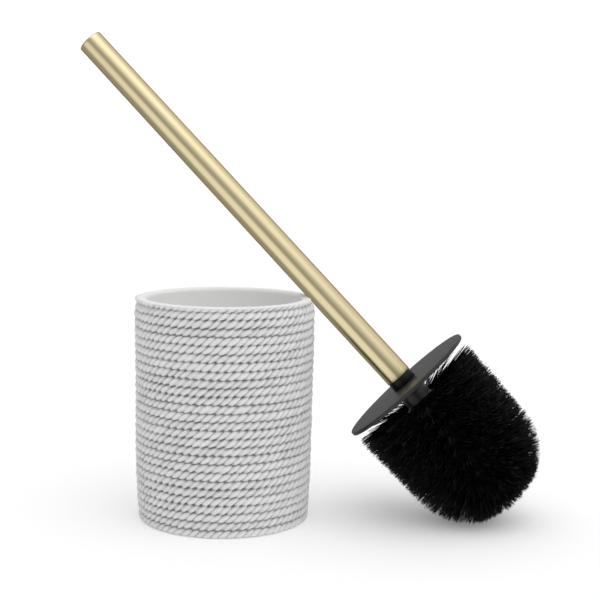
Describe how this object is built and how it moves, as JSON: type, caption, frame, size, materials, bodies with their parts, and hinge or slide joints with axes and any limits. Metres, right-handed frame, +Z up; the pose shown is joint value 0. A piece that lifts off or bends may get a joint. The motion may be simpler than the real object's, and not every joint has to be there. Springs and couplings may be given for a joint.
{
  "type": "toilet brush holder",
  "caption": "Round white rope-textured cup with a straight metal-handled toilet brush leaning on its rim; the black lid and bristle head screw off the handle.",
  "frame": {"origin": "centre of the cup's base, on the floor", "axes": "+Z up along the cup's axis; the brush leans from the floor at +X over the rim towards -X"},
  "size_m": [0.255, 0.0998, 0.2657],
  "materials": {
    "resin": "satin cast resin, off-white",
    "foam": "closed-cell foam, dark grey",
    "gold": "brushed along the tube, pale gold plated steel",
    "steel": "machined",
    "collar": "gloss black",
    "lid": "satin dark grey",
    "rubber": "matt black",
    "core": "moulded black, semi-gloss",
    "bristle": "black nylon bristle"
  },
  "bodies": {
    "holder": {"holder_cup": "resin", "base_pad": "foam"},
    "brush_head": {"head_core": "core", "bristle_row_1": "bristle", "bristle_row_2": "bristle", "bristle_row_3": "bristle", "bristle_row_4": "bristle", "bristle_row_5": "bristle", "bristle_row_6": "bristle", "bristle_row_7": "bristle", "bristle_row_8": "bristle", "bristle_row_9": "bristle", "bristle_end_tuft": "bristle"},
    "lid": {"lid_collar": "collar", "lid_disc": "lid", "lid_washer": "rubber"},
    "handle": {"handle_tube": "gold", "handle_end_cap": "gold", "threaded_insert": "steel", "threaded_stud": "steel"}
  },
  "joints": [
    {"name": "brush_lift", "type": "slide", "parent": "holder", "child": "brush_head", "axis": [0, 0, 1], "range_m": [0, 0.2]},
    {"name": "lid_slide", "type": "slide", "parent": "brush_head", "child": "lid", "axis": [-0.6869, 0.0843, 0.7219], "range_m": [0, 0.01125]},
    {"name": "handle_turn", "type": "hinge", "parent": "lid", "child": "handle", "pos_m": [0.1001, 0.001, 0.0754], "axis": [-0.6869, 0.0843, 0.7219], "range_deg": [0, 3245]}
  ],
  "couplings": [
    {"joint": "handle_turn", "follows": "lid_slide", "rad_per_m": 5026.5}
  ]
}
